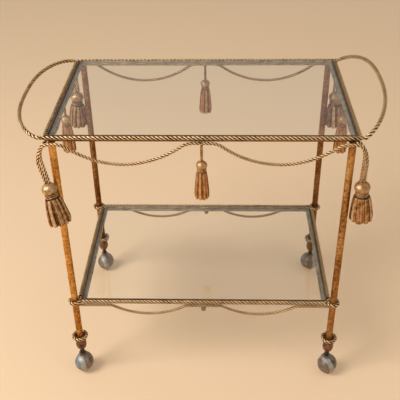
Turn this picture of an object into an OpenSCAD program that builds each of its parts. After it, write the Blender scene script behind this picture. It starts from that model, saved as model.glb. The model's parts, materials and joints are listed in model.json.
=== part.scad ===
// Bar cart of gilt iron: two glass trays framed in twisted rope, rope swags with tassels,
// a bent rope handle at each end and four swivelling ball casters.
// The origin is on the floor under the middle of the cart. X runs along the cart, Y to its back.

/* [Trays] */
// Width of the tray's glass
tray_w = 642; // [560:1:760]
// Depth of the tray's glass
tray_d = 393; // [340:1:460]
// Height of the tray's rope above the floor
tray_h = 684; // [600:1:800]
// Height of the shelf's rope above the floor
shelf_h = 232.5; // [200:0.5:330]
// Thickness of both glasses
glass_t = 6; // [4:0.5:7]
// Height of the angle iron round each glass
angle_h = 14; // [12:0.5:18]
// Thickness of the angle iron
angle_t = 3.2; // [2:0.1:4]
// Width of the angle iron's lip under the glass
lip_w = 12; // [8:0.5:20]
// Gap between a glass and its angle iron
glass_gap = 0.5; // [0.3:0.1:1]

/* [Legs] */
// Outer diameter of the leg tube
leg_d = 16; // [13:0.5:19]
// Wall of the leg tube
leg_wall = 1.5; // [1:0.1:2.5]
// Distance of a leg in from the tray's end rope
leg_inset = 15.6; // [12:0.2:24]
// Distance of the shelf's end rope in from the legs
shelf_inset = 9.4; // [8:0.2:12]
// Distance of the shelf's long ropes out from the legs
shelf_outset = 2; // [0:0.2:3]

/* [Ropes] */
// Diameter of the ropes round the trays
rail_d = 9; // [7:0.5:10]
// Diameter of the swag ropes
swag_d = 7.5; // [5:0.5:9]
// Diameter of the handle rope
handle_d = 9.5; // [7:0.5:11]
// Drop of the long swags under the tray
swag_sag = 47; // [30:1:60]
// Drop of the short swags at the tray's ends
end_sag = 28; // [16:1:40]
// Drop of the swags under the shelf
shelf_sag = 26; // [14:1:34]
// How far the long swags rise where they pass the legs
swag_lift = 4; // [0:0.5:6]
// Radius of the bend where a swag meets its rail
swag_bend = 40; // [20:1:60]

/* [Handles] */
// How far the left handle reaches out
left_reach = 73; // [60:1:110]
// How far the left handle's middle stands above the tray
left_rise = 9; // [0:1:60]
// How far the right handle reaches out
right_reach = 62; // [60:1:110]
// How far the right handle's middle stands above the tray
right_rise = 44; // [0:1:60]

/* [Tassels] */
// Diameter of a corner tassel's head
corner_head_d = 34; // [26:1:38]
// Diameter of a corner tassel's skirt at its hem
corner_hem_d = 52; // [40:1:54]
// Length of a corner tassel's skirt
corner_skirt_h = 61; // [50:1:90]
// Drop of the corner tassels' heads below the tray's rope
corner_drop = 112; // [90:1:180]
// Diameter of a middle tassel's head
middle_head_d = 24; // [18:1:28]
// Diameter of a middle tassel's skirt at its hem
middle_hem_d = 33; // [28:1:40]
// Length of a middle tassel's skirt
middle_skirt_h = 66; // [50:1:80]
// Length of the cord that a middle tassel hangs on
hanger_l = 49; // [20:1:60]
// Diameter of that cord
hanger_d = 6.5; // [4:0.5:7]
// Number of flutes in a skirt
flutes = 10; // [8:1:14]
// Shift of the front left tassel towards its leg
front_left_in = 16; // [0:1:18]
// Shift of the front left tassel to the front
front_left_out = 11; // [0:1:16]
// Lean of the front left tassel, in degrees
front_left_lean = 17; // [0:1:20]
// Outward lean of the other corner tassels, in degrees
corner_lean = 4; // [3:0.5:8]

/* [Casters] */
// Diameter of a ball caster
ball_d = 50; // [40:1:56]
// Downward tilt of a wheel's axle, in degrees
axle_tilt = 7; // [3:1:12]
// Height of the hood's middle above the wheel's
hood_lift = 4; // [2:0.5:6]
// Distance of the ball's middle behind its stem
trail = 4; // [2:0.5:6]
// Diameter of a caster's stem
stem_d = 8; // [6:0.5:9]
// Length of the black neck between ball and socket
neck_l = 19; // [8:1:24]
// Height of the turned socket at a leg's foot
socket_h = 36; // [32:1:50]
// Diameter of the rope that rings a leg's foot
ankle_d = 8.5; // [6:0.5:10]

/* [Hidden] */
$fn = 48;
slip = 0.05;      // radial clearance of a shaft that turns
touch = 0.1;      // clearance of a piece that is welded on
seat = 0.3;       // clearance of a piece that rests

rail_r = rail_d / 2;
swag_r = swag_d / 2;
leg_r = leg_d / 2;
stub = 4;         // straight start of a bent rope
angle_top = 3.5;  // top of the angle iron above the rope's middle

// Middle lines of the ropes, the legs and the frames
tray_x = tray_w / 2 + glass_gap + angle_t + rail_r;
tray_y = tray_d / 2 + glass_gap + angle_t + rail_r;
leg_x = tray_x - leg_inset;
leg_y = tray_y;
shelf_x = leg_x - shelf_inset;
shelf_y = leg_y + shelf_outset;
tray_under = tray_h + angle_top - angle_h;
shelf_under = shelf_h + angle_top - angle_h;

// The rope ring that ties the shelf to each leg
ring_r = leg_r + rail_r + touch;
ring_out = ring_r + rail_r;

// Swags are seated on the outer lower edges of their frames and pass outside the legs
swag_off = 2.5;
edge = rail_r - swag_off;
swag_drop = sqrt(pow(swag_r + touch, 2) - pow(swag_off, 2));
swag_z = tray_under - swag_drop;
shelf_swag_z = shelf_under - swag_drop;
swag_y = leg_y + leg_r + swag_r + seat;
drop_x = leg_x + leg_r + 4 * swag_r + 2;

// Feet, from the floor up
ball_r = ball_d / 2;
ball_gap = 0.6;
arm_t = 2;
arm_top = ball_d + hood_lift + arm_t;
socket_z = arm_top + neck_l;
bore_top = socket_z + socket_h * 0.36;
pan_z = socket_z + socket_h;
ankle_r = leg_r + ankle_d;
ankle_z = pan_z + ankle_d / 2 + seat;

// The origin lies under the middle of the whole cart, its handles and the leaning tassel included
home = [(left_reach - right_reach) / 2,
    front_left_out / 2 + 0.32 * (corner_skirt_h + 0.6 * corner_head_d) * sin(front_left_lean), 0];

// Each corner's side along X and Y, the way its wheel faces in degrees from X, and whether its tassel leans
CORNERS = [[-1, -1, 201, 1], [1, -1, 218, 0], [-1, 1, 205, 0], [1, 1, 30, 0]];

function unit(v) = v / norm(v);
function tangent(p, i) = unit(p[min(i + 1, len(p) - 1)] - p[max(i - 1, 0)]);
function bezier(a, b, c, d, t) =
    pow(1 - t, 3) * a + 3 * t * pow(1 - t, 2) * b + 3 * t * t * (1 - t) * c + t * t * t * d;
function ring(r, sides) = [for (j = [0 : sides - 1]) r * [cos(360 * j / sides), sin(360 * j / sides)]];

// A section carried along a path, with one of its axes square to the direction side
module sweep(path, side, section) {
    n = len(section);
    last = len(path) - 1;
    points = [for (i = [0 : last])
        let (t = tangent(path, i), u = unit(cross(side, t)), w = cross(t, u))
        for (s = section) path[i] + s[0] * u + s[1] * w];
    walls = [for (i = [0 : last - 1], j = [0 : n - 1])
        let (a = i * n + j, d = i * n + (j + 1) % n)
        each [[a, a + n, d + n], [a, d + n, d]]];
    start = [for (j = [0 : n - 1]) j];
    end = [for (j = [n - 1 : -1 : 0]) last * n + j];
    polyhedron(points, concat(walls, [start, end]), convexity = 8);
}

module rope(path, d, side) {
    sweep(path, side, ring(d / 2, 8));
}

// Depth of a swag below its rail, d along from its lowest point
function dip(d, half, sag, bend) =
    let (turn = 2 * atan(sag / half), big = half / sin(turn) - bend)
    abs(d) >= half ? 0
    : abs(d) < big * sin(turn) ? sag - big + sqrt(big * big - d * d)
    : bend - sqrt(bend * bend - pow(half - abs(d), 2));

// Distances at which a run from a to b is given a point
function steps(a, b, n) = [for (i = [0 : n]) a + (b - a) * i / n];

// Each corner's copy of what is drawn for the back right
module at_corner(c) scale_sign(c[0], c[1]) children();
module scale_sign(sx, sy)
    mirror([sx < 0 ? 1 : 0, 0, 0]) mirror([0, sy < 0 ? 1 : 0, 0]) children();

module leg() {
    color("peru")
    translate([leg_x, leg_y, bore_top])
    difference() {
        cylinder(h = tray_under - bore_top, r = leg_r);
        translate([0, 0, -1]) cylinder(h = tray_under - bore_top - 10, r = leg_r - leg_wall);
    }
}

// Four mitred bars of angle iron whose outer faces touch the ropes' inner sides
module frame(x, y, z, notch) {
    color("saddlebrown")
    difference() {
        union() {
            for (s = [-1, 1]) {
                scale_sign(1, s) frame_bar(x, y, z);
                scale_sign(s, 1) mirror([1, -1, 0]) frame_bar(y, x, z);
            }
        }
        if (notch)
            for (c = CORNERS) at_corner(c)
                translate([leg_x, leg_y, z - angle_h])
                rotate(45) translate([-ring_out - touch, -ring_out * 2, 0])
                cube([ring_out * 3, ring_out * 4, angle_h * 3]);
    }
}

module frame_bar(x, y, z) {
    ox = x - rail_r;
    oy = y - rail_r;
    top = z + angle_top;
    mitre = touch / 2;
    intersection() {
        translate([-ox, 0, 0]) rotate([90, 0, 90])
        linear_extrude(2 * ox)
        polygon([[oy, top], [oy, top - angle_h], [oy - lip_w, top - angle_h],
            [oy - lip_w, top - angle_h + angle_t], [oy - angle_t, top - angle_h + angle_t],
            [oy - angle_t, top]]);
        translate([0, 0, z - angle_h]) linear_extrude(2 * angle_h)
        polygon([[-ox + mitre, oy], [-ox + mitre + lip_w + 2, oy - lip_w - 2],
            [ox - mitre - lip_w - 2, oy - lip_w - 2], [ox - mitre, oy]]);
    }
}

module glass(x, y, z) {
    inset = rail_r + angle_t + glass_gap;
    w = 2 * (x - inset);
    d = 2 * (y - inset);
    color("lightcyan", 0.4)
    translate([-w / 2, -d / 2, z + angle_top - angle_h + angle_t + touch])
    cube([w, d, glass_t]);
}

module straight_rope(from, to) {
    color("goldenrod")
    translate(from)
    rotate([0, 90, atan2(to[1] - from[1], to[0] - from[0])])
    cylinder(h = norm(to - from), r = rail_r);
}

module tray_rope_long(s) {
    end = tray_x + rail_r;
    straight_rope([-end, s * tray_y, tray_h], [end, s * tray_y, tray_h]);
}

module tray_rope_end(s) {
    end = tray_y - rail_r - touch;
    straight_rope([s * tray_x, -end, tray_h], [s * tray_x, end, tray_h]);
}

module shelf_rope_long(s) {
    end = leg_x - ring_out - touch;
    straight_rope([-end, s * shelf_y, shelf_h], [end, s * shelf_y, shelf_h]);
}

module shelf_rope_end(s) {
    end = leg_y - ring_out - touch;
    straight_rope([s * shelf_x, -end, shelf_h], [s * shelf_x, end, shelf_h]);
}

module rope_ring(r, d) {
    rotate_extrude() translate([r, 0]) circle(d / 2);
}

module shelf_rings() {
    color("goldenrod")
    for (c = CORNERS) at_corner(c) translate([leg_x, leg_y, shelf_h]) rope_ring(ring_r, rail_d);
}

module ankle_rings() {
    color("goldenrod")
    for (c = CORNERS) at_corner(c) translate([leg_x, leg_y, ankle_z]) rope_ring(ankle_r, ankle_d);
}

// A handle swells out from the tray's two corners in a rounded bow
function bow(t, reach, rise) =
    let (half = tray_y, v = sin(90 * t), w = pow(1 - pow(abs(v), 2.5), 0.6))
    [tray_x + rail_r + stub + reach * w, half * v, tray_h + rise * w];
function bow_path(s, reach, rise) = let (x0 = tray_x + rail_r + touch) concat(
    [[s * x0, -tray_y, tray_h]],
    [for (t = steps(-1, 1, 36)) let (p = bow(t, reach, rise)) [s * p[0], p[1], p[2]]],
    [[s * x0, tray_y, tray_h]]);

module handle(s, reach, rise) {
    color("goldenrod") rope(bow_path(s, reach, rise), handle_d, unit([s * rise, 0, -reach]));
}

// Where a corner's tassel hangs: the middle of its head and the way it points
function head_at(c) = c[3] * [-front_left_in, front_left_out, 0]
    + [(drop_x + tail_x) / 2, swag_y, tray_h - corner_drop];
function lean_at(c) = c[3] == 1
    ? [-sin(front_left_lean) * 0.765, sin(front_left_lean) * 0.644, -cos(front_left_lean)]
    : [sin(corner_lean), 0, -cos(corner_lean)];
// The two tails end side by side on top of the head, side 0 or 1
function tail_end(c, side) = let (d = lean_at(c), e = unit(cross([0, 1, 0], d)))
    head_at(c) - d * (corner_head_d * 0.42 + touch) + (0.5 - side) * (tail_x - drop_x) * e;
function tail_points(c, side) = [tail_end(c, side) - 6 * lean_at(c), tail_end(c, side)];

// A long swag runs from the middle of the tray, past the leg, and down to the corner tassel
swag_flat = 20;
swag_half = (leg_x - leg_r - swag_flat) / 2;
function swag_out(x) = tray_y - edge + (swag_y - tray_y + edge) * min(1, (x - stub) / (leg_x - leg_r - stub));
function swag_up(x) = let (u = max(0, min(1, (x - swag_flat - swag_half) / swag_half)))
    swag_z + swag_lift * pow(sin(90 * u), 2);
function long_swag_path(c) = concat(
    [for (x = [touch / 2, stub]) [x, tray_y - edge, swag_z]],
    [for (x = steps(swag_flat, swag_flat + 2 * swag_half, 20))
        [x, swag_out(x), swag_up(x) - dip(x - swag_flat - swag_half, swag_half, swag_sag, swag_bend)]],
    [for (t = steps(0, 1, 7))
        bezier([leg_x + 2, swag_y, swag_z + swag_lift], [drop_x - 4, swag_y, swag_z + swag_lift],
            [drop_x, swag_y, swag_z - 8], [drop_x, swag_y, swag_z - 32], t)],
    tail_points(c, 0));

module swag_long(c) {
    color("goldenrod") at_corner(c) rope(long_swag_path(c), swag_d, [0, 1, 0]);
}

// A short pair of swags runs along an end of the tray, with both tails down to the corner tassels
end_flat = 10;
end_half = (leg_y - 2 * leg_r - 2 * end_flat - 2) / 2;
tail_x = drop_x + swag_d + touch;
function end_tail(c) = concat(
    [for (t = steps(0, 1, 7))
        bezier([tray_x - edge, leg_y - 2 * leg_r, swag_z], [tray_x - edge, leg_y - leg_r / 2, swag_z],
            [tail_x, leg_y - leg_r / 2, swag_z - 8], [tail_x, swag_y, swag_z - 40], t)],
    tail_points(c, 1));
function end_half_path(c) = concat(
    [for (y = steps(end_flat, end_flat + 2 * end_half, 12))
        [tray_x - edge, y, swag_z - dip(y - end_flat - end_half, end_half, end_sag, swag_bend / 2)]],
    end_tail(c));
function reversed(p) = [for (i = [len(p) - 1 : -1 : 0]) [p[i][0], -p[i][1], p[i][2]]];

module swag_end(front, back) {
    path = concat(reversed(end_half_path(front)), end_half_path(back));
    color("goldenrod") scale_sign(front[0], 1) rope(path, swag_d, [1, 0, 0]);
}

// The shelf's swags dip twice on each side and lie flat under the frame between
module shelf_swag(run, flat, middle, sag, square) {
    half = (run - flat - middle) / 2;
    one = [for (d = steps(middle, middle + 2 * half, 14))
        [d, 0, shelf_swag_z - dip(d - middle - half, half, sag, swag_bend / 2)]];
    path = concat([[-run, 0, shelf_swag_z]],
        [for (i = [len(one) - 1 : -1 : 0]) [-one[i][0], 0, one[i][2]]], one,
        [[run, 0, shelf_swag_z]]);
    color("goldenrod") rope(path, swag_d, square);
}

module shelf_swag_long(s)
    translate([0, s * (shelf_y - edge), 0])
    shelf_swag(leg_x - leg_r - seat, 76, 38, shelf_sag, [0, 1, 0]);

module shelf_swag_end(s)
    translate([s * (shelf_x - edge), 0, 0]) rotate(90)
    shelf_swag(leg_y - leg_r - seat - 1, 30, 20, shelf_sag * 0.8, [0, 1, 0]);

module shelf_knots() {
    knot_r = 5.5;
    z = shelf_swag_z - swag_r - knot_r - touch;
    color("goldenrod") {
        for (s = [-1, 1]) {
            translate([0, s * (shelf_y - edge), z]) sphere(knot_r);
            translate([s * (shelf_x - edge), 0, z]) sphere(knot_r);
        }
    }
}

// A tassel's skirt swells quickly under its head, and its hem is scalloped and hollow underneath
SWELL = [[0, 0.62], [0.12, 0.74], [0.4, 0.87], [0.8, 1], [1, 0.97]];
module skirt(hem_r, h) {
    per = 4;
    n = flutes * per;
    last = len(SWELL) - 1;
    function lobe(j) = abs(cos(180 * j / per));
    rim = [for (k = [0 : last], j = [0 : n - 1])
        let (fold = 1 - lobe(j), r = hem_r * SWELL[k][1] * (k == 0 ? 1 : 1 - 0.13 * fold),
            drop = k == last ? 0.04 * fold : 0)
        [r * cos(360 * j / n), r * sin(360 * j / n), h * (drop - SWELL[k][0])]];
    walls = [for (k = [0 : last - 1], j = [0 : n - 1])
        let (a = k * n + j, b = k * n + (j + 1) % n)
        each [[a, b + n, a + n], [a, b, b + n]]];
    hollow = [for (j = [0 : n - 1]) [last * n + j, last * n + (j + 1) % n, len(rim)]];
    polyhedron(concat(rim, [[0, 0, -0.88 * h]]), concat(walls, hollow, [[for (j = [n - 1 : -1 : 0]) j]]),
        convexity = 6);
}

// A tassel hangs down from the middle of its head, with a bound neck between head and skirt
module tassel(head_d, hem_d, skirt_h) {
    head_r = head_d / 2;
    neck_r = head_r * 0.74;
    bead = head_r * 0.14;
    neck_z = -head_r * 0.62;
    skirt_z = neck_z - 4 * bead;
    color("darkgoldenrod") {
        rotate_extrude()
        polygon(concat(
            [[0, head_r * 0.84], [head_r * 0.3, head_r * 0.84]],
            [for (a = [60 : -15 : -30]) [head_r * cos(a), head_r * 0.84 * sin(a)]],
            [[neck_r, neck_z]],
            [for (k = [0, 1], a = [75 : -30 : -75 + 30 * k])
                [neck_r + bead * cos(a), neck_z - bead * (1 + 2 * k) + bead * sin(a)]],
            [[neck_r, skirt_z - 2], [0, skirt_z - 2]]));
        translate([0, 0, skirt_z]) skirt(hem_d / 2, skirt_h);
    }
}

module tassel_corner(c) {
    d = lean_at(c);
    at_corner(c) translate(head_at(c))
    rotate([0, acos(-d[2]), atan2(-d[1], -d[0])])
    tassel(corner_head_d, corner_hem_d, corner_skirt_h);
}

module tassel_middle() {
    head_z = swag_z - swag_r - hanger_l - touch;
    color("goldenrod")
    translate([0, 0, head_z + middle_head_d * 0.42])
    cylinder(h = hanger_l - middle_head_d * 0.42, d = hanger_d);
    translate([0, 0, head_z]) tassel(middle_head_d, middle_hem_d, middle_skirt_h);
}

// A turned socket holds the leg's tube from above and the caster's stem from below
module leg_socket() {
    h = socket_h;
    color("sienna")
    difference() {
        rotate_extrude()
        polygon([[0, 0], [leg_r + 1.5, 0], [leg_r + 3, h * 0.05], [leg_r + 5.2, h * 0.25], [leg_r + 5.4, h * 0.42],
            [leg_r + 4, h * 0.6], [leg_r + 2.5, h * 0.74], [leg_r + 5, h * 0.86], [ankle_r + 1, h * 0.94],
            [ankle_r + 1, h], [leg_r + 4, h], [leg_r + 3, h * 0.97], [0, h * 0.97]]);
        translate([0, 0, bore_top - socket_z]) cylinder(h = h, r = leg_r + touch / 2);
        translate([0, 0, -1]) cylinder(h = h, d = stem_d + 2 * slip);
    }
}

module leg_sockets() {
    for (c = CORNERS) at_corner(c) translate([leg_x, leg_y, socket_z]) leg_socket();
}

// A caster is drawn with its stem at the origin and its wheel facing X
module at_caster(c) {
    translate([c[0] * leg_x, c[1] * leg_y, 0]) rotate(c[2]) children();
}

module at_ball() {
    translate([0, trail, ball_r]) rotate([0, axle_tilt, 0]) children();
}

hood_face = -3.5;
wheel_face = -2.5;
tread_w = 14;
axle_d = 6;
axle_in = ball_r * 0.6;
axle_out = ball_r * 0.5;
boss_r = 9;

module caster_stem(c) {
    clip_z = bore_top + seat;
    color("dimgray")
    at_caster(c) {
        translate([0, 0, arm_top]) cylinder(h = neck_l - seat, d = stem_d + 3);
        translate([0, 0, arm_top]) cylinder(h = bore_top + 8 - arm_top, d = stem_d);
        translate([0, 0, clip_z]) cylinder(h = 1.5, d = stem_d + 2.4);
    }
}

// Half a ball to one side of a plane, drilled for the axle, as a profile for a revolve
module half_ball_profile(r, from, to, hole_r, hole_end) {
    difference() {
        intersection() {
            circle(r);
            translate([0, from]) square([r, to - from]);
        }
        translate([-1, from - 1]) square([hole_r + 1, hole_end - from + 1]);
    }
}

module caster_hood(c) {
    color("lightslategray")
    at_caster(c) {
        difference() {
            at_ball() translate([0, 0, hood_lift]) rotate([0, -90, 0]) rotate_extrude()
            half_ball_profile(ball_r, -hood_face, ball_r, 0, 0);
            at_ball() translate([-axle_in, 0, 0]) rotate([0, 90, 0]) cylinder(h = ball_d, d = axle_d);
        }
        difference() {
            translate([0, 0, ball_r * 1.6]) cylinder(h = arm_top - ball_r * 1.6, r = boss_r);
            at_ball() translate([hood_face - 1, 0, 0]) rotate([0, 90, 0]) cylinder(h = ball_d, r = ball_r + ball_gap);
        }
    }
}

module caster_axle(c) {
    color("dimgray")
    at_caster(c) at_ball()
    translate([-axle_in, 0, 0]) rotate([0, 90, 0]) cylinder(h = axle_in + axle_out, d = axle_d);
}

module caster_wheel(c) {
    bore = axle_d / 2 + slip;
    color("gray")
    at_caster(c) at_ball() rotate([0, 90, 0]) rotate_extrude() {
        half_ball_profile(ball_r, wheel_face, wheel_face + tread_w, bore, axle_out + seat);
        half_ball_profile(ball_r - 1.6, wheel_face, ball_r, bore, axle_out + seat);
    }
}

SIDES = [["front_left", 0], ["front_right", 1], ["back_left", 2], ["back_right", 3]];
translate(home) {
    for (s = SIDES) {
        c = CORNERS[s[1]];
        at_corner(c) leg();
        swag_long(c);
        tassel_corner(c);
        caster_stem(c);
        caster_hood(c);
        caster_axle(c);
        caster_wheel(c);
    }
    frame(tray_x, tray_y, tray_h, false);  // tray_frame
    frame(shelf_x, shelf_y, shelf_h, true);  // shelf_frame
    glass(tray_x, tray_y, tray_h);  // tray_glass
    glass(shelf_x, shelf_y, shelf_h);  // shelf_glass
    tray_rope_long(-1);  // tray_rope_front
    tray_rope_long(1);  // tray_rope_back
    tray_rope_end(-1);  // tray_rope_left
    tray_rope_end(1);  // tray_rope_right
    shelf_rope_long(-1);  // shelf_rope_front
    shelf_rope_long(1);  // shelf_rope_back
    shelf_rope_end(-1);  // shelf_rope_left
    shelf_rope_end(1);  // shelf_rope_right
    shelf_rings();
    handle(-1, left_reach, left_rise);  // handle_left
    handle(1, right_reach, right_rise);  // handle_right
    swag_end(CORNERS[0], CORNERS[2]);  // swag_left
    swag_end(CORNERS[1], CORNERS[3]);  // swag_right
    shelf_swag_long(-1);  // shelf_swag_front
    shelf_swag_long(1);  // shelf_swag_back
    shelf_swag_end(-1);  // shelf_swag_left
    shelf_swag_end(1);  // shelf_swag_right
    shelf_knots();
    translate([0, edge - tray_y, 0]) tassel_middle();  // tassel_front
    translate([0, tray_y - edge, 0]) tassel_middle();  // tassel_back
    translate([edge - tray_x, 0, 0]) tassel_middle();  // tassel_left
    translate([tray_x - edge, 0, 0]) tassel_middle();  // tassel_right
    ankle_rings();
    leg_sockets();
}
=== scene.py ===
# Dressed model of a gilt iron bar cart with rope edges, swags and tassels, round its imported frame
import json
import math

import bpy
import numpy as np
from mathutils import Matrix, Vector


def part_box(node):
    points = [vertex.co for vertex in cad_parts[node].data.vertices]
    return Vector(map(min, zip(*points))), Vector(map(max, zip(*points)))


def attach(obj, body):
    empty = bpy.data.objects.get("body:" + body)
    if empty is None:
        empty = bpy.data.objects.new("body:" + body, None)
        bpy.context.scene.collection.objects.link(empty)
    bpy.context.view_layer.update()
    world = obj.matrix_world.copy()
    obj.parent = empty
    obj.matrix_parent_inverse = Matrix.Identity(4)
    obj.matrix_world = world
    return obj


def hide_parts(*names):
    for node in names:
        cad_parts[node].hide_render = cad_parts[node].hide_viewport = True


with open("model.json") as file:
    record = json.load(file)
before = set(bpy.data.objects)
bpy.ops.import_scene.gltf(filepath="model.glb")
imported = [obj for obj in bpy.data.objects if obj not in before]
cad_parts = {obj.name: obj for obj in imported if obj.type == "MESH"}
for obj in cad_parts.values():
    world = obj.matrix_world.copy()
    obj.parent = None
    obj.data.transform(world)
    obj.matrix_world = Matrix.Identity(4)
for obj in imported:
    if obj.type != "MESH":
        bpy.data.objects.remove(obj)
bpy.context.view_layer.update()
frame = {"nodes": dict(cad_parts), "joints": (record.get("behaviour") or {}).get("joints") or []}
BODY = "cart"
MM = 0.001

# Each corner's side along X and Y, and 1 where its tassel leans over
CORNERS = {
    "front_left": (-1, -1, 1),
    "front_right": (1, -1, 0),
    "back_left": (-1, 1, 0),
    "back_right": (1, 1, 0),
}

# The side along Y of what lies on a long side, and along X of what lies at an end
LONG_SIDES = (("front", -1), ("back", 1))
ENDS = (("left", -1), ("right", 1))


def leg_middle(axis):
    boxes = [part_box("leg_" + name) for name in CORNERS]
    return sum(low[axis] + high[axis] for low, high in boxes) / (2 * len(boxes))


# The spot on the floor amid the legs, in metres, which the sizes below are measured from
HOME = Vector((leg_middle(0), leg_middle(1), 0))

# Sizes of trays, legs and feet in millimetres, as in the part's source
GLASS_W = 642.0
GLASS_D = 393.0
GLASS_GAP = 0.5
TRAY_H = 684.0
SHELF_H = 232.5
ANGLE_H = 14.0
ANGLE_T = 3.2
ANGLE_TOP = 3.5
LEG_R = 8.0
LEG_INSET = 15.6
SHELF_INSET = 9.4
SHELF_OUTSET = 2.0
HOOD_TOP = 56.0
NECK_L = 19.0
SOCKET_H = 36.0
TOUCH = 0.1             # clearance of a piece that is welded on
SEAT = 0.3              # clearance of a piece that rests
LIP_BELOW = 2.0         # a level between an iron's lip and its top edge, down from the rope's middle
WHEEL_STEP = 11.4       # the step on a wheel, out from its middle

# Sizes of the ropes
RAIL_D = 9.0
SWAG_D = 7.5
HANDLE_D = 9.5
HANGER_D = 6.5
ANKLE_D = 8.5
STUB = 4.0              # straight start of a bent rope
SWAG_OFF = 2.5          # a swag's middle, out from the outer face of its angle iron
SWAG_SAG = 47.0
SWAG_FLAT = 20.0
SWAG_LIFT = 4.0         # how far a long swag rises to pass the leg
SWAG_BEND = 40.0
END_SAG = 28.0
END_FLAT = 10.0
SHELF_SAG = 26.0
SHELF_END_SAG = SHELF_SAG * 0.8
KNOT_R = 5.5

# How much of a shelf swag lies flat at each leg, and on either side of the middle
SHELF_FLATS = (76.0, 38.0)
SHELF_END_FLATS = (30.0, 20.0)

# Each handle's side along X, how far it reaches out and how far its middle stands above the tray
HANDLES = {"left": (-1, 73.0, 9.0), "right": (1, 62.0, 44.0)}

# Sizes of the tassels: the diameters of head and hem, and the length of the skirt
CORNER_TASSEL = (34.0, 52.0, 61.0)
MIDDLE_TASSEL = (24.0, 33.0, 66.0)
CORNER_DROP = 112.0
HANGER_L = 49.0
HEAD_TOP = 0.42         # height of a head above its middle, in diameters
FLUTES = 10

# The leaning tassel's shift and its angle, the way it leans, and the others' slight lean outward
LEAN_IN = 16.0
LEAN_OUT = 11.0
LEAN = math.radians(17)
LEAN_X = 0.765
LEAN_Y = 0.644
CORNER_LEAN = math.radians(4)

# Middle lines of the ropes, the legs and the swags
RAIL_R = RAIL_D / 2
SWAG_R = SWAG_D / 2
TRAY_X = GLASS_W / 2 + GLASS_GAP + ANGLE_T + RAIL_R
TRAY_Y = GLASS_D / 2 + GLASS_GAP + ANGLE_T + RAIL_R
LEG_X = TRAY_X - LEG_INSET
LEG_Y = TRAY_Y
SHELF_X = LEG_X - SHELF_INSET
SHELF_Y = LEG_Y + SHELF_OUTSET
RING_R = LEG_R + RAIL_R + TOUCH
RING_OUT = RING_R + RAIL_R
ANKLE_R = LEG_R + ANKLE_D
ANKLE_Z = HOOD_TOP + NECK_L + SOCKET_H + ANKLE_D / 2 + SEAT
EDGE = RAIL_R - SWAG_OFF
SWAG_DROP = math.sqrt((SWAG_R + TOUCH) ** 2 - SWAG_OFF ** 2)
SWAG_Z = TRAY_H + ANGLE_TOP - ANGLE_H - SWAG_DROP
SHELF_SWAG_Z = SHELF_H + ANGLE_TOP - ANGLE_H - SWAG_DROP
SWAG_Y = LEG_Y + LEG_R + SWAG_R + SEAT
SWAG_HALF = (LEG_X - LEG_R - SWAG_FLAT) / 2
END_HALF = (LEG_Y - 2 * LEG_R - 2 * END_FLAT - 2) / 2
DROP_X = LEG_X + LEG_R + 4 * SWAG_R + 2
TAIL_X = DROP_X + SWAG_D + TOUCH

# A rope's lay
STRANDS = 3
LAY = 3.17              # length of a turn, in diameters of the rope
PER_TURN = 12           # points along a turn
ROUND = 8               # points round a strand, and round one of a small rope
SMALL_ROUND = 6
PRESSED = 1.03          # how much thicker the strands are than ones that only touch


# Camera, from the fit to the photograph's corners
def make_camera():
    data = bpy.data.cameras.new("camera")
    data.sensor_width = 36.0
    data.lens = 63.07
    data.clip_start = 0.05
    data.clip_end = 50.0
    cam = bpy.data.objects.new("camera", data)
    bpy.context.collection.objects.link(cam)
    right = Vector((0.9995944, 0.0255209, -0.0126300))
    up = Vector((-0.0037573, 0.5578791, 0.8299138))
    back = -Vector((-0.0282261, 0.8295298, -0.5577487))
    turn = Matrix((right, up, back)).transposed().to_4x4()
    cam.matrix_world = Matrix.Translation(HOME + Vector((0.038836, -1.479264, 1.386828))) @ turn
    bpy.context.scene.camera = cam


# Routes of the ropes, the same as in the part's source
def steps(a, b, n):
    return [a + (b - a) * i / n for i in range(n + 1)]


def unit(v):
    v = np.array(v, float)
    return v / np.linalg.norm(v)


def bezier(a, b, c, d, n):
    a, b, c, d = map(np.array, (a, b, c, d))
    return [(1 - t) ** 3 * a + 3 * t * (1 - t) ** 2 * b + 3 * t * t * (1 - t) * c + t ** 3 * d
            for t in steps(0, 1, n)]


def circle(x, y, z, r, n):
    angles = [2 * math.pi * i / n for i in range(n)]
    return [[x + r * math.cos(a), y + r * math.sin(a), z] for a in angles]


def mirrored(path, sx, sy):
    """The same path in another corner of the cart."""
    return [[sx * p[0], sy * p[1], p[2]] for p in path]


def dip(d, half, sag, bend):
    """Depth of a swag below its rail, d along from its lowest point."""
    turn = 2 * math.atan(sag / half)
    big = half / math.sin(turn) - bend
    d = abs(d)
    if d >= half:
        return 0.0
    if d < big * math.sin(turn):
        return sag - big + math.sqrt(big * big - d * d)
    return bend - math.sqrt(bend * bend - (half - d) ** 2)


def handle_path(reach, rise):
    """A handle swells out from the tray's two corners in a rounded bow."""
    start = TRAY_X + RAIL_R + TOUCH
    path = [[start, -TRAY_Y, TRAY_H]]
    for t in steps(-1, 1, 240):
        v = math.sin(math.pi / 2 * t)
        w = max(0.0, 1 - abs(v) ** 2.5) ** 0.6
        path.append([TRAY_X + RAIL_R + STUB + reach * w, TRAY_Y * v, TRAY_H + rise * w])
    return path + [[start, TRAY_Y, TRAY_H]]


def head_at(leans):
    """The middle of a corner tassel's head."""
    return np.array([(DROP_X + TAIL_X) / 2 - LEAN_IN * leans, SWAG_Y + LEAN_OUT * leans,
                     TRAY_H - CORNER_DROP])


def lean_at(leans):
    """The way a corner tassel points."""
    if leans:
        return np.array([-math.sin(LEAN) * LEAN_X, math.sin(LEAN) * LEAN_Y, -math.cos(LEAN)])
    return np.array([math.sin(CORNER_LEAN), 0, -math.cos(CORNER_LEAN)])


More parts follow.
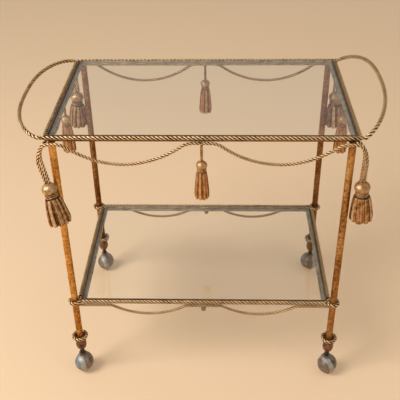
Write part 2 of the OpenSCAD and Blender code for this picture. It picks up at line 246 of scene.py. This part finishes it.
def tail_points(leans, side):
    """The end of a tail on top of a corner tassel's head, where two of them lie side by side."""
    d = lean_at(leans)
    across = unit(np.cross([0, 1, 0], d))
    top = head_at(leans) - d * (CORNER_TASSEL[0] * HEAD_TOP + TOUCH)
    end = top + (0.5 - side) * (TAIL_X - DROP_X) * across
    return [end - 6 * d, end]


def long_swag(leans):
    """From the middle of a long side, past the leg, and down to the corner tassel."""
    rail = TRAY_Y - EDGE

    def out(x):
        return rail + (SWAG_Y - rail) * min(1, (x - STUB) / (LEG_X - LEG_R - STUB))

    def up(x):
        u = max(0.0, min(1.0, (x - SWAG_FLAT - SWAG_HALF) / SWAG_HALF))
        return SWAG_Z + SWAG_LIFT * math.sin(math.pi / 2 * u) ** 2

    path = [[x, rail, SWAG_Z] for x in (TOUCH / 2, STUB)]
    for x in steps(SWAG_FLAT, SWAG_FLAT + 2 * SWAG_HALF, 90):
        depth = dip(x - SWAG_FLAT - SWAG_HALF, SWAG_HALF, SWAG_SAG, SWAG_BEND)
        path.append([x, out(x), up(x) - depth])
    path += bezier([LEG_X + 2, SWAG_Y, SWAG_Z + SWAG_LIFT], [DROP_X - 4, SWAG_Y, SWAG_Z + SWAG_LIFT],
                   [DROP_X, SWAG_Y, SWAG_Z - 8], [DROP_X, SWAG_Y, SWAG_Z - 32], 16)
    return path + tail_points(leans, 0)


def end_half(leans):
    """From the middle of an end of the tray to one corner tassel."""
    rail = TRAY_X - EDGE
    path = []
    for y in steps(END_FLAT, END_FLAT + 2 * END_HALF, 50):
        depth = dip(y - END_FLAT - END_HALF, END_HALF, END_SAG, SWAG_BEND / 2)
        path.append([rail, y, SWAG_Z - depth])
    turn_y = LEG_Y - LEG_R / 2
    path += bezier([rail, LEG_Y - 2 * LEG_R, SWAG_Z], [rail, turn_y, SWAG_Z],
                   [TAIL_X, turn_y, SWAG_Z - 8], [TAIL_X, SWAG_Y, SWAG_Z - 40], 18)
    return path + tail_points(leans, 1)


def end_swag(front, back):
    """From the front corner's tassel to the back one's."""
    return mirrored(reversed(end_half(front)), 1, -1) + end_half(back)


def shelf_swag(run, flats, sag):
    """Two dips along X between two legs, flat under the frame at both legs and in the middle."""
    at_leg, middle = flats
    half = (run - at_leg - middle) / 2
    one = []
    for d in steps(middle, middle + 2 * half, 60):
        one.append([d, 0, SHELF_SWAG_Z - dip(d - middle - half, half, sag, SWAG_BEND / 2)])
    ends = [[run, 0, SHELF_SWAG_Z]]
    return mirrored(ends, -1, 1) + mirrored(reversed(one), -1, 1) + one + ends


# Meshes
def resample(path, step, closed):
    """Even points along a path without its doubled points, how far along each is, and the length."""
    p = np.array([np.array(q, float) for q in path])
    if closed:
        p = np.vstack([p, p[:1]])
    gaps = np.linalg.norm(np.diff(p, axis=0), axis=1)
    p = p[np.concatenate([[True], gaps > 1e-6])]
    s = np.concatenate([[0], np.cumsum(np.linalg.norm(np.diff(p, axis=0), axis=1))])
    n = max(4, int(round(s[-1] / step)))
    at = np.linspace(0, s[-1], n + 1)
    q = np.column_stack([np.interp(at, s, p[:, k]) for k in range(3)])
    if closed:
        q = q[:-1]
        at = at[:-1]
    return q, at, s[-1]


def frames(p, closed):
    """Tangents and two sideways axes that don't turn about the path."""
    if closed:
        t = np.roll(p, -1, axis=0) - np.roll(p, 1, axis=0)
    else:
        t = np.gradient(p, axis=0)
    t /= np.linalg.norm(t, axis=1)[:, None]
    ref = [0, 0, 1.0] if abs(t[0][2]) < 0.9 else [1.0, 0, 0]
    u = unit(np.cross(t[0], ref))
    us = [u]
    for i in range(1, len(p)):
        u = unit(u - t[i] * np.dot(u, t[i]))
        us.append(u)
    u = np.array(us)
    return t, u, np.cross(t, u)


def skin(rings, around, closed=False):
    """Faces over rings of points, with a cap on each end unless the last ring meets the first."""
    faces = []
    for i in range(rings if closed else rings - 1):
        here = i * around
        there = (i + 1) % rings * around
        for j in range(around):
            k = (j + 1) % around
            faces.append((here + j, here + k, there + k, there + j))
    if not closed:
        faces.append(tuple(range(around - 1, -1, -1)))
        faces.append(tuple(range((rings - 1) * around, rings * around)))
    return faces


class Parts:
    """Points and faces of one piece in millimetres, each point with a level from 0 in a groove to 1
    on a crest."""

    def __init__(self):
        self.verts = []
        self.faces = []
        self.crest = []

    def add(self, verts, faces, crest):
        base = len(self.verts)
        self.verts.extend(verts)
        self.crest.extend(crest)
        self.faces.extend([tuple(base + i for i in f) for f in faces])

    def make(self, name, node, material):
        """Makes the piece, in place of a node."""
        mesh = bpy.data.meshes.new(name)
        mesh.from_pydata([tuple(v) for v in np.array(self.verts) * MM + np.array(HOME)], [], self.faces)
        attr = mesh.attributes.new("crest", "FLOAT", "POINT")
        attr.data.foreach_set("value", np.array(self.crest, dtype=np.float32))
        mesh.polygons.foreach_set("use_smooth", [True] * len(mesh.polygons))
        mesh.validate()
        mesh.update()
        obj = bpy.data.objects.new(name, mesh)
        bpy.context.collection.objects.link(obj)
        obj.data.materials.append(material)
        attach(obj, BODY)
        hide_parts(node)


def lay_rope(parts, path, d, closed=False, around=ROUND, wear_and_highlight=1.0):
    """A rope of right-handed strands along a path. Each point's level is low towards the grooves, as painted
    shade, and rises on the crests to the given top, as painted highlight over rubbed gilding.
    """
    lead = LAY * d
    p, s, total = resample(path, lead / PER_TURN, closed)
    t, u, w = frames(p, closed)
    turn = 2 * math.pi / lead
    if closed:
        # The lay is stretched until each strand meets one, and allows for the axes' own turn
        turn = 2 * math.pi / STRANDS * max(1, round(total / lead * STRANDS)) / total
        left = np.cross(u[-1], u[0])
        turn += math.atan2(float(np.dot(left, t[0])), float(np.dot(u[-1], u[0]))) / total
    r = d / 2 / (1 + 1 / math.sin(math.pi / STRANDS)) * PRESSED
    reach = d / 2 - r
    phi = np.arange(around) * 2 * math.pi / around
    for strand in range(STRANDS):
        a = turn * s + 2 * math.pi * strand / STRANDS
        out = np.cos(a)[:, None] * u + np.sin(a)[:, None] * w
        across = -np.sin(a)[:, None] * u + np.cos(a)[:, None] * w
        along = t + turn * reach * across
        along /= np.linalg.norm(along, axis=1)[:, None]
        side = np.cross(along, out)
        verts = []
        crest = []
        for i, centre in enumerate(p + reach * out):
            for b in phi:
                verts.append(centre + r * (math.cos(b) * out[i] + math.sin(b) * side[i]))
                # Painted shade towards the grooves between strands, painted highlight on the crests over
                # rubbed gilding
                crest.append(wear_and_highlight * (0.5 + 0.5 * math.cos(b)))
        parts.add(verts, skin(len(p), around, closed), crest)


def rope_piece(node, path, d, material):
    parts = Parts()
    lay_rope(parts, path, d)
    parts.make("laid_" + node, node, material)


# Radius of a skirt down its length, as shares of its hem's and of the length
SWELL = ((0, 0.62), (0.05, 0.68), (0.12, 0.74), (0.25, 0.81), (0.4, 0.87), (0.6, 0.94), (0.8, 1.0),
         (0.92, 1.0), (1, 0.95))
SWELL_AT, SWELL_TO = zip(*SWELL)

# Radius and height of the hollow under a skirt, as shares of the same
HOLLOW_R = 0.5
HOLLOW_AT = 0.88


def skirt(parts, place, hem_r, top_z, length, seed):
    """A skirt that swells quickly, with a rounded and scalloped hem and broad folds, uneven by seed."""
    around = 160
    down = 30
    verts = []
    crest = []
    for v in steps(0, 1, down):
        for j in range(around):
            a = 2 * math.pi * j / around
            b = a + 0.10 * math.sin(2 * a + seed) + 0.06 * math.sin(3 * a + 2 * seed)
            lobe = abs(math.cos(FLUTES * b / 2 + 0.12 * math.sin(3 * v + seed))) ** 0.6
            cord = 0.5 + 0.5 * math.cos(FLUTES * 4 * b)
            wear_and_highlight = 0.16 * math.sin(7 * a + seed) + 0.12 * math.sin(23 * a + 3 * seed + 1.5 * v)
            deep = 0.07 + 0.08 * v
            r = hem_r * np.interp(v, SWELL_AT, SWELL_TO) * (1.0 - deep * (1 - lobe) - 0.015 * (1 - cord))
            drop = length * (v - 0.05 * v ** 8 * (1 - lobe))
            verts.append(place([r * math.cos(a), r * math.sin(a), top_z - drop]))
            # Level dark in the folds as painted shade and pale on the lobes as painted highlight, with
            # uneven wear
            crest.append(0.62 * lobe + 0.24 * cord + wear_and_highlight)
    # Painted shade where it comes out under the neck, and in the hollow under the hem below
    crest[:around] = [0.0] * around
    hollow = circle(0, 0, top_z - length * HOLLOW_AT, hem_r * HOLLOW_R, around)
    verts.extend(place(p) for p in hollow)
    crest.extend([0.0] * around)
    parts.add(verts, skin(down + 2, around), crest)


def lathe(parts, place, profile):
    """A turned shape from the radius, height and level of each of its rings."""
    around = 64
    verts = []
    crest = []
    for r, z, level in profile:
        verts.extend(place(p) for p in circle(0, 0, z, r, around))
        crest.extend([level] * around)
    parts.add(verts, skin(len(profile), around), crest)


def tassel(parts, centre, direction, size, seed):
    """A smooth head, a bound neck and a skirt, hung from the middle of the head."""
    head_d, hem_d, length = size
    d = unit(direction)
    e = unit(np.cross([0, 1, 0], d))
    f = np.cross(d, e)

    def place(p):
        return centre + p[0] * e + p[1] * f - p[2] * d

    head_r = head_d / 2
    head_h = head_d * HEAD_TOP
    neck_r = head_r * 0.74
    bead = head_r * 0.14
    neck_z = -head_r * 0.62
    skirt_z = neck_z - 4 * bead
    head = [(head_r * 0.26, head_h, 0.7)]
    for degrees in range(72, -40, -8):
        a = math.radians(degrees)
        head.append((head_r * math.cos(a), head_h * math.sin(a), 0.76))
    head.append((neck_r, neck_z, 0.45))
    head.append((neck_r, skirt_z - 2, 0.3))
    lathe(parts, place, head)
    for k in (1, 3):
        ring = [place(p) for p in circle(0, 0, neck_z - k * bead, neck_r, 48)]
        lay_rope(parts, ring, bead * 2, closed=True, around=SMALL_ROUND, wear_and_highlight=0.9)
    skirt(parts, place, hem_d / 2, skirt_z, length, seed)


# Materials
class Finish:
    """A material and the nodes that feed its shader. Where a value is asked for, a node's output or
    a plain number or colour will do."""

    def __init__(self, name):
        self.material = bpy.data.materials.new(name)
        self.material.use_nodes = True
        self.nodes = self.material.node_tree.nodes
        self.links = self.material.node_tree.links
        self.shader = self.nodes["Principled BSDF"].inputs

    def put(self, socket, value):
        if isinstance(value, bpy.types.NodeSocket):
            self.links.new(value, socket)
        else:
            socket.default_value = value

    def set(self, name, value):
        self.put(self.shader[name], value)

    def coord(self, name):
        return self.nodes.new("ShaderNodeTexCoord").outputs[name]

    def split(self, vector):
        node = self.nodes.new("ShaderNodeSeparateXYZ")
        self.put(node.inputs["Vector"], vector)
        return node.outputs

    def noise(self, scale, detail, rough):
        node = self.nodes.new("ShaderNodeTexNoise")
        self.put(node.inputs["Scale"], scale)
        self.put(node.inputs["Detail"], detail)
        self.put(node.inputs["Roughness"], rough)
        self.put(node.inputs["Vector"], self.coord("Object"))
        return node.outputs["Fac"]

    def ramp(self, value, *stops):
        node = self.nodes.new("ShaderNodeValToRGB")
        elements = node.color_ramp.elements
        while len(elements) < len(stops):
            elements.new(0.5)
        for element, (at, colour) in zip(elements, stops):
            element.position = at
            element.color = (*colour, 1)
        self.put(node.inputs["Fac"], value)
        return node.outputs["Color"]

    def mix(self, share, a, b, blend="MIX"):
        node = self.nodes.new("ShaderNodeMix")
        node.data_type = "RGBA"
        node.blend_type = blend
        self.put(node.inputs["Factor"], share)
        self.put(node.inputs["A"], a)
        self.put(node.inputs["B"], b)
        return node.outputs["Result"]

    def compute(self, operation, *values):
        node = self.nodes.new("ShaderNodeMath")
        node.operation = operation
        for socket, value in zip(node.inputs, values):
            self.put(socket, value)
        return node.outputs["Value"]

    def span(self, value, low, high, to_low, to_high):
        node = self.nodes.new("ShaderNodeMapRange")
        self.put(node.inputs["Value"], value)
        self.put(node.inputs["From Min"], low)
        self.put(node.inputs["From Max"], high)
        self.put(node.inputs["To Min"], to_low)
        self.put(node.inputs["To Max"], to_high)
        return node.outputs["Result"]

    def far_along(self, point, direction):
        """How far the surface lies beyond a point in a direction, in metres."""
        away = self.nodes.new("ShaderNodeVectorMath")
        away.operation = "SUBTRACT"
        self.put(away.inputs[0], self.coord("Object"))
        self.put(away.inputs[1], point)
        dot = self.nodes.new("ShaderNodeVectorMath")
        dot.operation = "DOT_PRODUCT"
        self.put(dot.inputs[0], away.outputs["Vector"])
        self.put(dot.inputs[1], direction)
        return dot.outputs["Value"]

    def bump(self, height, strength, distance):
        node = self.nodes.new("ShaderNodeBump")
        self.put(node.inputs["Strength"], strength)
        self.put(node.inputs["Distance"], distance)
        self.put(node.inputs["Height"], height)
        self.set("Normal", node.outputs["Normal"])

    def pits(self):
        """The fine grain of turned and cast metal."""
        self.bump(self.noise(500, 3, 0.6), 0.2, 0.0005)

    def gilding(self):
        """The gloss of old gilding, warm in its highlights."""
        self.set("Metallic", 0.8)
        self.set("Specular IOR Level", 0.3)
        self.set("Specular Tint", (1.0, 0.74, 0.44, 1))


def gilt(name, groove, body, crest, stops, blotches, scale=60, bump=(0.3, 0.0006)):
    """Worn gilding over laid or folded shapes: dark in the grooves as painted shade, and pale on the crests
    as painted highlight where it is also rubbed.
    """
    m = Finish(name)
    fine = m.noise(480, 3, 0.6)
    attr = m.nodes.new("ShaderNodeAttribute")
    attr.attribute_name = "crest"
    blotch = m.span(m.noise(scale, 5, 0.66), 0.3, 0.7, *blotches)
    level = m.compute("ADD", attr.outputs["Fac"], blotch)
    # The groove colour is painted shade and the crest colour painted highlight over rubbed gilding; the
    # blotches vary the level at random
    colour = m.ramp(level, *zip(stops, (groove, body, crest)))
    stain = m.ramp(fine, (0.36, (0.42, 0.34, 0.26)), (0.60, (1, 1, 1)))
    m.set("Base Color", m.mix(0.45, colour, stain, "MULTIPLY"))
    m.set("Roughness", m.span(fine, 0.3, 0.7, 0.34, 0.52))
    m.gilding()
    m.bump(fine, *bump)
    return m.material


def hammered(name, dark, body, light):
    """Gilt tube with a fine hammered grain and long stains."""
    m = Finish(name)
    grain = m.noise(165, 4, 0.66)
    stain = m.noise(18, 4, 0.55)
    level = m.compute("ADD", m.span(grain, 0.25, 0.75, 0.0, 0.6), m.span(stain, 0.25, 0.75, 0.0, 0.4))
    m.set("Base Color", m.ramp(level, (0.26, dark), (0.47, body), (0.76, light)))
    m.set("Roughness", m.span(grain, 0.3, 0.7, 0.28, 0.50))
    m.gilding()
    m.bump(grain, 0.5, 0.0008)
    return m.material


def metal(name, dark, light, metallic, rough, scale=90):
    """Blotched metal with a fine grain."""
    m = Finish(name)
    blotch = m.noise(scale, 5, 0.6)
    m.set("Base Color", m.ramp(blotch, (0.32, dark), (0.68, light)))
    m.set("Metallic", metallic)
    m.set("Roughness", m.span(blotch, 0.3, 0.7, *rough))
    m.pits()
    return m.material


WHEEL_TREAD = (0.54, 0.485, 0.42)
# Colours of the wheels' caps, which are painted reflections: a brown one of the floor, and a bluish one
BROWN_REFLECTION_CAP = (0.32, 0.24, 0.175)
BLUE_REFLECTION_CAP = (0.34, 0.38, 0.41)


def ball_wheel(name, joint, cap):
    """A caster's wheel: a bright tread beside its flat face, and beyond the step a cap whose colour is a
    painted reflection.
    """
    m = Finish(name)
    blotch = m.noise(60, 5, 0.6)
    bright = m.ramp(blotch, (0.32, [c * 0.55 for c in WHEEL_TREAD]), (0.66, WHEEL_TREAD))
    painted_reflection = m.ramp(blotch, (0.32, [c * 0.45 for c in cap]), (0.68, cap))
    beyond = m.compute("GREATER_THAN", m.far_along(joint["pos_m"], joint["axis"]), WHEEL_STEP * MM)
    m.set("Base Color", m.mix(beyond, bright, painted_reflection))
    m.set("Metallic", 0.5)
    m.set("Roughness", m.span(blotch, 0.3, 0.7, 0.42, 0.60))
    m.pits()
    return m.material


def angle_iron(name, rail_z):
    """Bronzed angle iron with painted shade inside its short sides and painted light inside its long sides,
    and a bare lip where the glass lies on it.
    """
    m = Finish(name)
    blotch = m.noise(70, 5, 0.62)
    fine = m.noise(420, 3, 0.6)
    bronze = m.ramp(blotch, (0.32, (0.075, 0.036, 0.016)), (0.70, (0.30, 0.165, 0.070)))
    # Painted shade for the inner faces of the short sides
    dark = m.ramp(blotch, (0.32, (0.018, 0.010, 0.006)), (0.70, (0.095, 0.052, 0.027)))
    bare = m.ramp(blotch, (0.30, (0.32, 0.25, 0.165)), (0.70, (0.74, 0.60, 0.42)))
    level = (rail_z - LIP_BELOW) * MM
    facing = m.split(m.coord("Normal"))
    upward = m.compute("GREATER_THAN", facing["Z"], 0.5)
    low = m.compute("LESS_THAN", m.split(m.coord("Object"))["Z"], level)
    lip = m.compute("MULTIPLY", upward, low)
    middle = Vector((HOME.x, HOME.y, level))
    # Faces turned to the cart's middle: those of the short sides painted dark as shade, the others in the
    # lip's bare colour as painted light
    inward = m.compute("LESS_THAN", m.far_along(middle, m.coord("Normal")), -0.05)
    shaded_short_sides = m.compute("GREATER_THAN", m.compute("ABSOLUTE", facing["X"]), 0.5)
    colour = m.mix(inward, bronze, m.mix(shaded_short_sides, bare, dark))
    m.set("Base Color", m.mix(lip, colour, bare))
    m.set("Metallic", m.span(lip, 0, 1, 0.5, 0.1))
    m.set("Roughness", m.span(fine, 0.3, 0.7, 0.35, 0.6))
    m.bump(fine, 0.25, 0.0005)
    return m.material


def clear_glass():
    m = Finish("clear_glass")
    m.set("Base Color", (0.975, 0.992, 0.985, 1))
    m.set("Roughness", m.span(m.noise(9, 4, 0.6), 0.5, 0.8, 0.0, 0.02))
    m.set("IOR", 1.45)
    m.set("Transmission Weight", 1.0)
    return m.material


def dress(node, material):
    obj = frame["nodes"][node]
    obj.data.materials.clear()
    obj.data.materials.append(material)


# Floor and light
FLOOR_HALF = 12.0
FLOOR_COLOUR = (0.83, 0.590, 0.370, 1)
FLOOR_GLOW = 0.18
WALL_COLOUR = (0.60, 0.44, 0.29, 1)
SKY_COLOUR = (1.0, 0.95, 0.88, 1)
SKY_STRENGTH = 0.42

# Each lamp's name, place about the cart, size and power, and the point that they all face
LAMPS = (("key", (-2.2, -1.2, 2.6), 1.6, 78), ("fill", (2.0, -1.2, 2.0), 1.8, 8))
LIT_POINT = (0, 0, 0.35)


def make_floor():
    mesh = bpy.data.meshes.new("floor")
    square = ((-1, -1), (1, -1), (1, 1), (-1, 1))
    mesh.from_pydata([(x * FLOOR_HALF, y * FLOOR_HALF, 0) for x, y in square], [], [(0, 1, 2, 3)])
    floor = bpy.data.objects.new("floor", mesh)
    bpy.context.collection.objects.link(floor)
    m = Finish("pale_floor")
    m.set("Base Color", FLOOR_COLOUR)
    m.set("Roughness", 0.55)
    m.set("Emission Color", FLOOR_COLOUR)
    ray = m.nodes.new("ShaderNodeLightPath").outputs
    seen = m.compute("MAXIMUM", ray["Is Camera Ray"], ray["Is Glossy Ray"])
    seen = m.compute("MAXIMUM", seen, ray["Is Transmission Ray"])
    m.set("Emission Strength", m.compute("MULTIPLY", seen, FLOOR_GLOW))
    floor.data.materials.append(m.material)


def make_world():
    """Even light all round, with a plain wall's colour where the camera looks past the floor."""
    world = bpy.data.worlds.new("studio")
    world.use_nodes = True
    nodes, links = world.node_tree.nodes, world.node_tree.links
    sky = nodes["Background"]
    sky.inputs["Color"].default_value = SKY_COLOUR
    sky.inputs["Strength"].default_value = SKY_STRENGTH
    wall = nodes.new("ShaderNodeBackground")
    wall.inputs["Color"].default_value = WALL_COLOUR
    pick = nodes.new("ShaderNodeMixShader")
    links.new(nodes.new("ShaderNodeLightPath").outputs["Is Camera Ray"], pick.inputs["Fac"])
    links.new(sky.outputs["Background"], pick.inputs[1])
    links.new(wall.outputs["Background"], pick.inputs[2])
    links.new(pick.outputs["Shader"], nodes["World Output"].inputs["Surface"])
    bpy.context.scene.world = world


def make_lamps():
    for name, place, size, power in LAMPS:
        data = bpy.data.lights.new(name, "AREA")
        data.size = size
        data.energy = power
        lamp = bpy.data.objects.new(name, data)
        lamp.location = HOME + Vector(place)
        aim = Vector(LIT_POINT) - Vector(place)
        lamp.rotation_mode = "QUATERNION"
        lamp.rotation_quaternion = aim.to_track_quat("-Z", "Y")
        bpy.context.collection.objects.link(lamp)


make_camera()
make_floor()
make_world()
make_lamps()
bpy.context.scene.view_settings.view_transform = "Standard"

# Finishes, each from its dark to its light
# The ropes' darkest colour is painted shade in their grooves
GROOVE_SHADE = (0.018, 0.006, 0.002)
GOLD_ROPE = gilt("gilt_rope", GROOVE_SHADE, (0.17, 0.066, 0.019), (1.0, 0.72, 0.40),
                 (0.44, 0.68, 0.92), (-0.14, 0.12))
SWAG_ROPE = gilt("gilt_swag", GROOVE_SHADE, (0.17, 0.064, 0.018), (1.0, 0.70, 0.39),
                 (0.44, 0.66, 0.88), (-0.12, 0.12))
GOLD_TASSEL = gilt("gilt_tassel", (0.085, 0.025, 0.007), (0.42, 0.175, 0.050), (0.78, 0.60, 0.36),
                   (0.18, 0.52, 0.98), (-0.32, 0.28), scale=95, bump=(0.7, 0.0012))
GOLD_MIDDLE = gilt("gilt_middle_tassel", (0.17, 0.050, 0.014), (0.52, 0.21, 0.060), (0.78, 0.58, 0.33),
                   (0.10, 0.50, 0.98), (-0.28, 0.24), scale=95, bump=(0.7, 0.0012))
# Lit and shaded copies of one gilding: the front left leg lit, the front right one in painted shade, the
# back ones in deeper painted shade
LIT_LEG = hammered("gilt_leg", (0.22, 0.075, 0.014), (0.56, 0.25, 0.050), (0.90, 0.52, 0.17))
SHADED_LEG = hammered("gilt_leg_shaded", (0.110, 0.037, 0.008), (0.31, 0.132, 0.035), (0.66, 0.37, 0.135))
DEEP_SHADED_LEG = hammered("gilt_leg_deep_shade", (0.082, 0.027, 0.006), (0.23, 0.095, 0.024), (0.48, 0.255, 0.090))
LEGS = {"front_left": LIT_LEG, "front_right": SHADED_LEG, "back_left": DEEP_SHADED_LEG, "back_right": DEEP_SHADED_LEG}
SOCKET = metal("turned_brass", (0.035, 0.013, 0.006), (0.34, 0.15, 0.06), 0.5, (0.3, 0.5), 130)
BLACK = metal("black_steel", (0.010, 0.009, 0.008), (0.045, 0.038, 0.032), 0.4, (0.35, 0.6))
# The hoods' brown is a painted reflection of their surroundings
HOOD = metal("hood_painted_reflection", (0.10, 0.070, 0.050), (0.36, 0.27, 0.20), 0.5, (0.34, 0.55), 60)
GLASS = clear_glass()


# Straight ropes of both trays
def rail_piece(node, a, b):
    rope_piece(node, [a, b], RAIL_D, GOLD_ROPE)


tray_long = TRAY_X + RAIL_R
tray_short = TRAY_Y - RAIL_R - TOUCH
shelf_long = LEG_X - RING_OUT - TOUCH
shelf_short = LEG_Y - RING_OUT - TOUCH
for name, s in LONG_SIDES:
    rail_piece("tray_rope_" + name, [-tray_long, s * TRAY_Y, TRAY_H], [tray_long, s * TRAY_Y, TRAY_H])
    rail_piece("shelf_rope_" + name, [-shelf_long, s * SHELF_Y, SHELF_H], [shelf_long, s * SHELF_Y, SHELF_H])
for name, s in ENDS:
    rail_piece("tray_rope_" + name, [s * TRAY_X, -tray_short, TRAY_H], [s * TRAY_X, tray_short, TRAY_H])
    rail_piece("shelf_rope_" + name,
               [s * SHELF_X, -shelf_short, SHELF_H], [s * SHELF_X, shelf_short, SHELF_H])

# Handles
for name, (s, reach, rise) in HANDLES.items():
    rope_piece("handle_" + name, mirrored(handle_path(reach, rise), s, 1), HANDLE_D, GOLD_ROPE)

# Swags under the tray and their tails
for name, (sx, sy, leans) in CORNERS.items():
    rope_piece("swag_" + name, mirrored(long_swag(leans), sx, sy), SWAG_D, SWAG_ROPE)
for name, s in ENDS:
    path = end_swag(CORNERS["front_" + name][2], CORNERS["back_" + name][2])
    rope_piece("swag_" + name, mirrored(path, s, 1), SWAG_D, SWAG_ROPE)

# Swags under the shelf
along = shelf_swag(LEG_X - LEG_R - SEAT, SHELF_FLATS, SHELF_SAG)
across = shelf_swag(LEG_Y - LEG_R - SEAT - 1, SHELF_END_FLATS, SHELF_END_SAG)
for name, s in LONG_SIDES:
    path = [[d, s * (SHELF_Y - EDGE), z] for d, _, z in along]
    rope_piece("shelf_swag_" + name, path, SWAG_D, SWAG_ROPE)
for name, s in ENDS:
    path = [[s * (SHELF_X - EDGE), d, z] for d, _, z in across]
    rope_piece("shelf_swag_" + name, path, SWAG_D, SWAG_ROPE)

# Rings round the legs
for node, z, r, d in (("shelf_rings", SHELF_H, RING_R, RAIL_D), ("ankle_rings", ANKLE_Z, ANKLE_R, ANKLE_D)):
    parts = Parts()
    for sx, sy, leans in CORNERS.values():
        lay_rope(parts, circle(sx * LEG_X, sy * LEG_Y, z, r, 72), d, closed=True)
    parts.make("laid_" + node, node, GOLD_ROPE)

# Corner tassels, and those under the middle of each side with their hangers
for name, (sx, sy, leans) in CORNERS.items():
    parts = Parts()
    flip = np.array([sx, sy, 1])
    tassel(parts, head_at(leans) * flip, lean_at(leans) * flip, CORNER_TASSEL, 1.3 + sx + 2.2 * sy)
    parts.make("fluted_tassel_" + name, "tassel_" + name, GOLD_TASSEL)

hang_top = SWAG_Z - SWAG_R - TOUCH
head_z = hang_top - HANGER_L
for name, x, y in (("front", 0, EDGE - TRAY_Y), ("back", 0, TRAY_Y - EDGE),
                   ("left", EDGE - TRAY_X, 0), ("right", TRAY_X - EDGE, 0)):
    parts = Parts()
    tassel(parts, np.array([x, y, head_z]), [0, 0, -1], MIDDLE_TASSEL, 0.02 * (x + 2 * y))
    # The hanger ends just inside the head
    hang_end = head_z + MIDDLE_TASSEL[0] * 0.4
    lay_rope(parts, [[x, y, hang_top], [x, y, hang_end]], HANGER_D, wear_and_highlight=0.72)
    parts.make("fluted_tassel_" + name, "tassel_" + name, GOLD_MIDDLE)

# Knots under the middle of the shelf's swags, of two turns each: height, radius and rope
KNOT_TURNS = ((2.3, 4.4, 5.6), (-2.4, 3.3, 5.2))
parts = Parts()
knot_z = SHELF_SWAG_Z - SWAG_R - KNOT_R - TOUCH
for x, y in ((0, SHELF_Y - EDGE), (0, EDGE - SHELF_Y), (SHELF_X - EDGE, 0), (EDGE - SHELF_X, 0)):
    for rise, r, d in KNOT_TURNS:
        lay_rope(parts, circle(x, y, knot_z + rise, r, 32), d, closed=True, around=SMALL_ROUND)
parts.make("tied_shelf_knots", "shelf_knots", GOLD_ROPE)

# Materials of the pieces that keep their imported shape
joints = {joint["name"]: joint for joint in frame["joints"]}
for name in CORNERS:
    dress("leg_" + name, LEGS[name])
    dress("caster_stem_" + name, BLACK)
    dress("caster_hood_" + name, HOOD)
    dress("caster_axle_" + name, BLACK)
    # The front left wheel's cap gets the bluish painted reflection, the others the brown one
    cap = BLUE_REFLECTION_CAP if name == "front_left" else BROWN_REFLECTION_CAP
    dress("caster_wheel_" + name, ball_wheel("ball_wheel_" + name, joints["wheel_spin_" + name], cap))
dress("tray_frame", angle_iron("tray_iron", TRAY_H))
dress("shelf_frame", angle_iron("shelf_iron", SHELF_H))
dress("leg_sockets", SOCKET)
dress("tray_glass", GLASS)
dress("shelf_glass", GLASS)
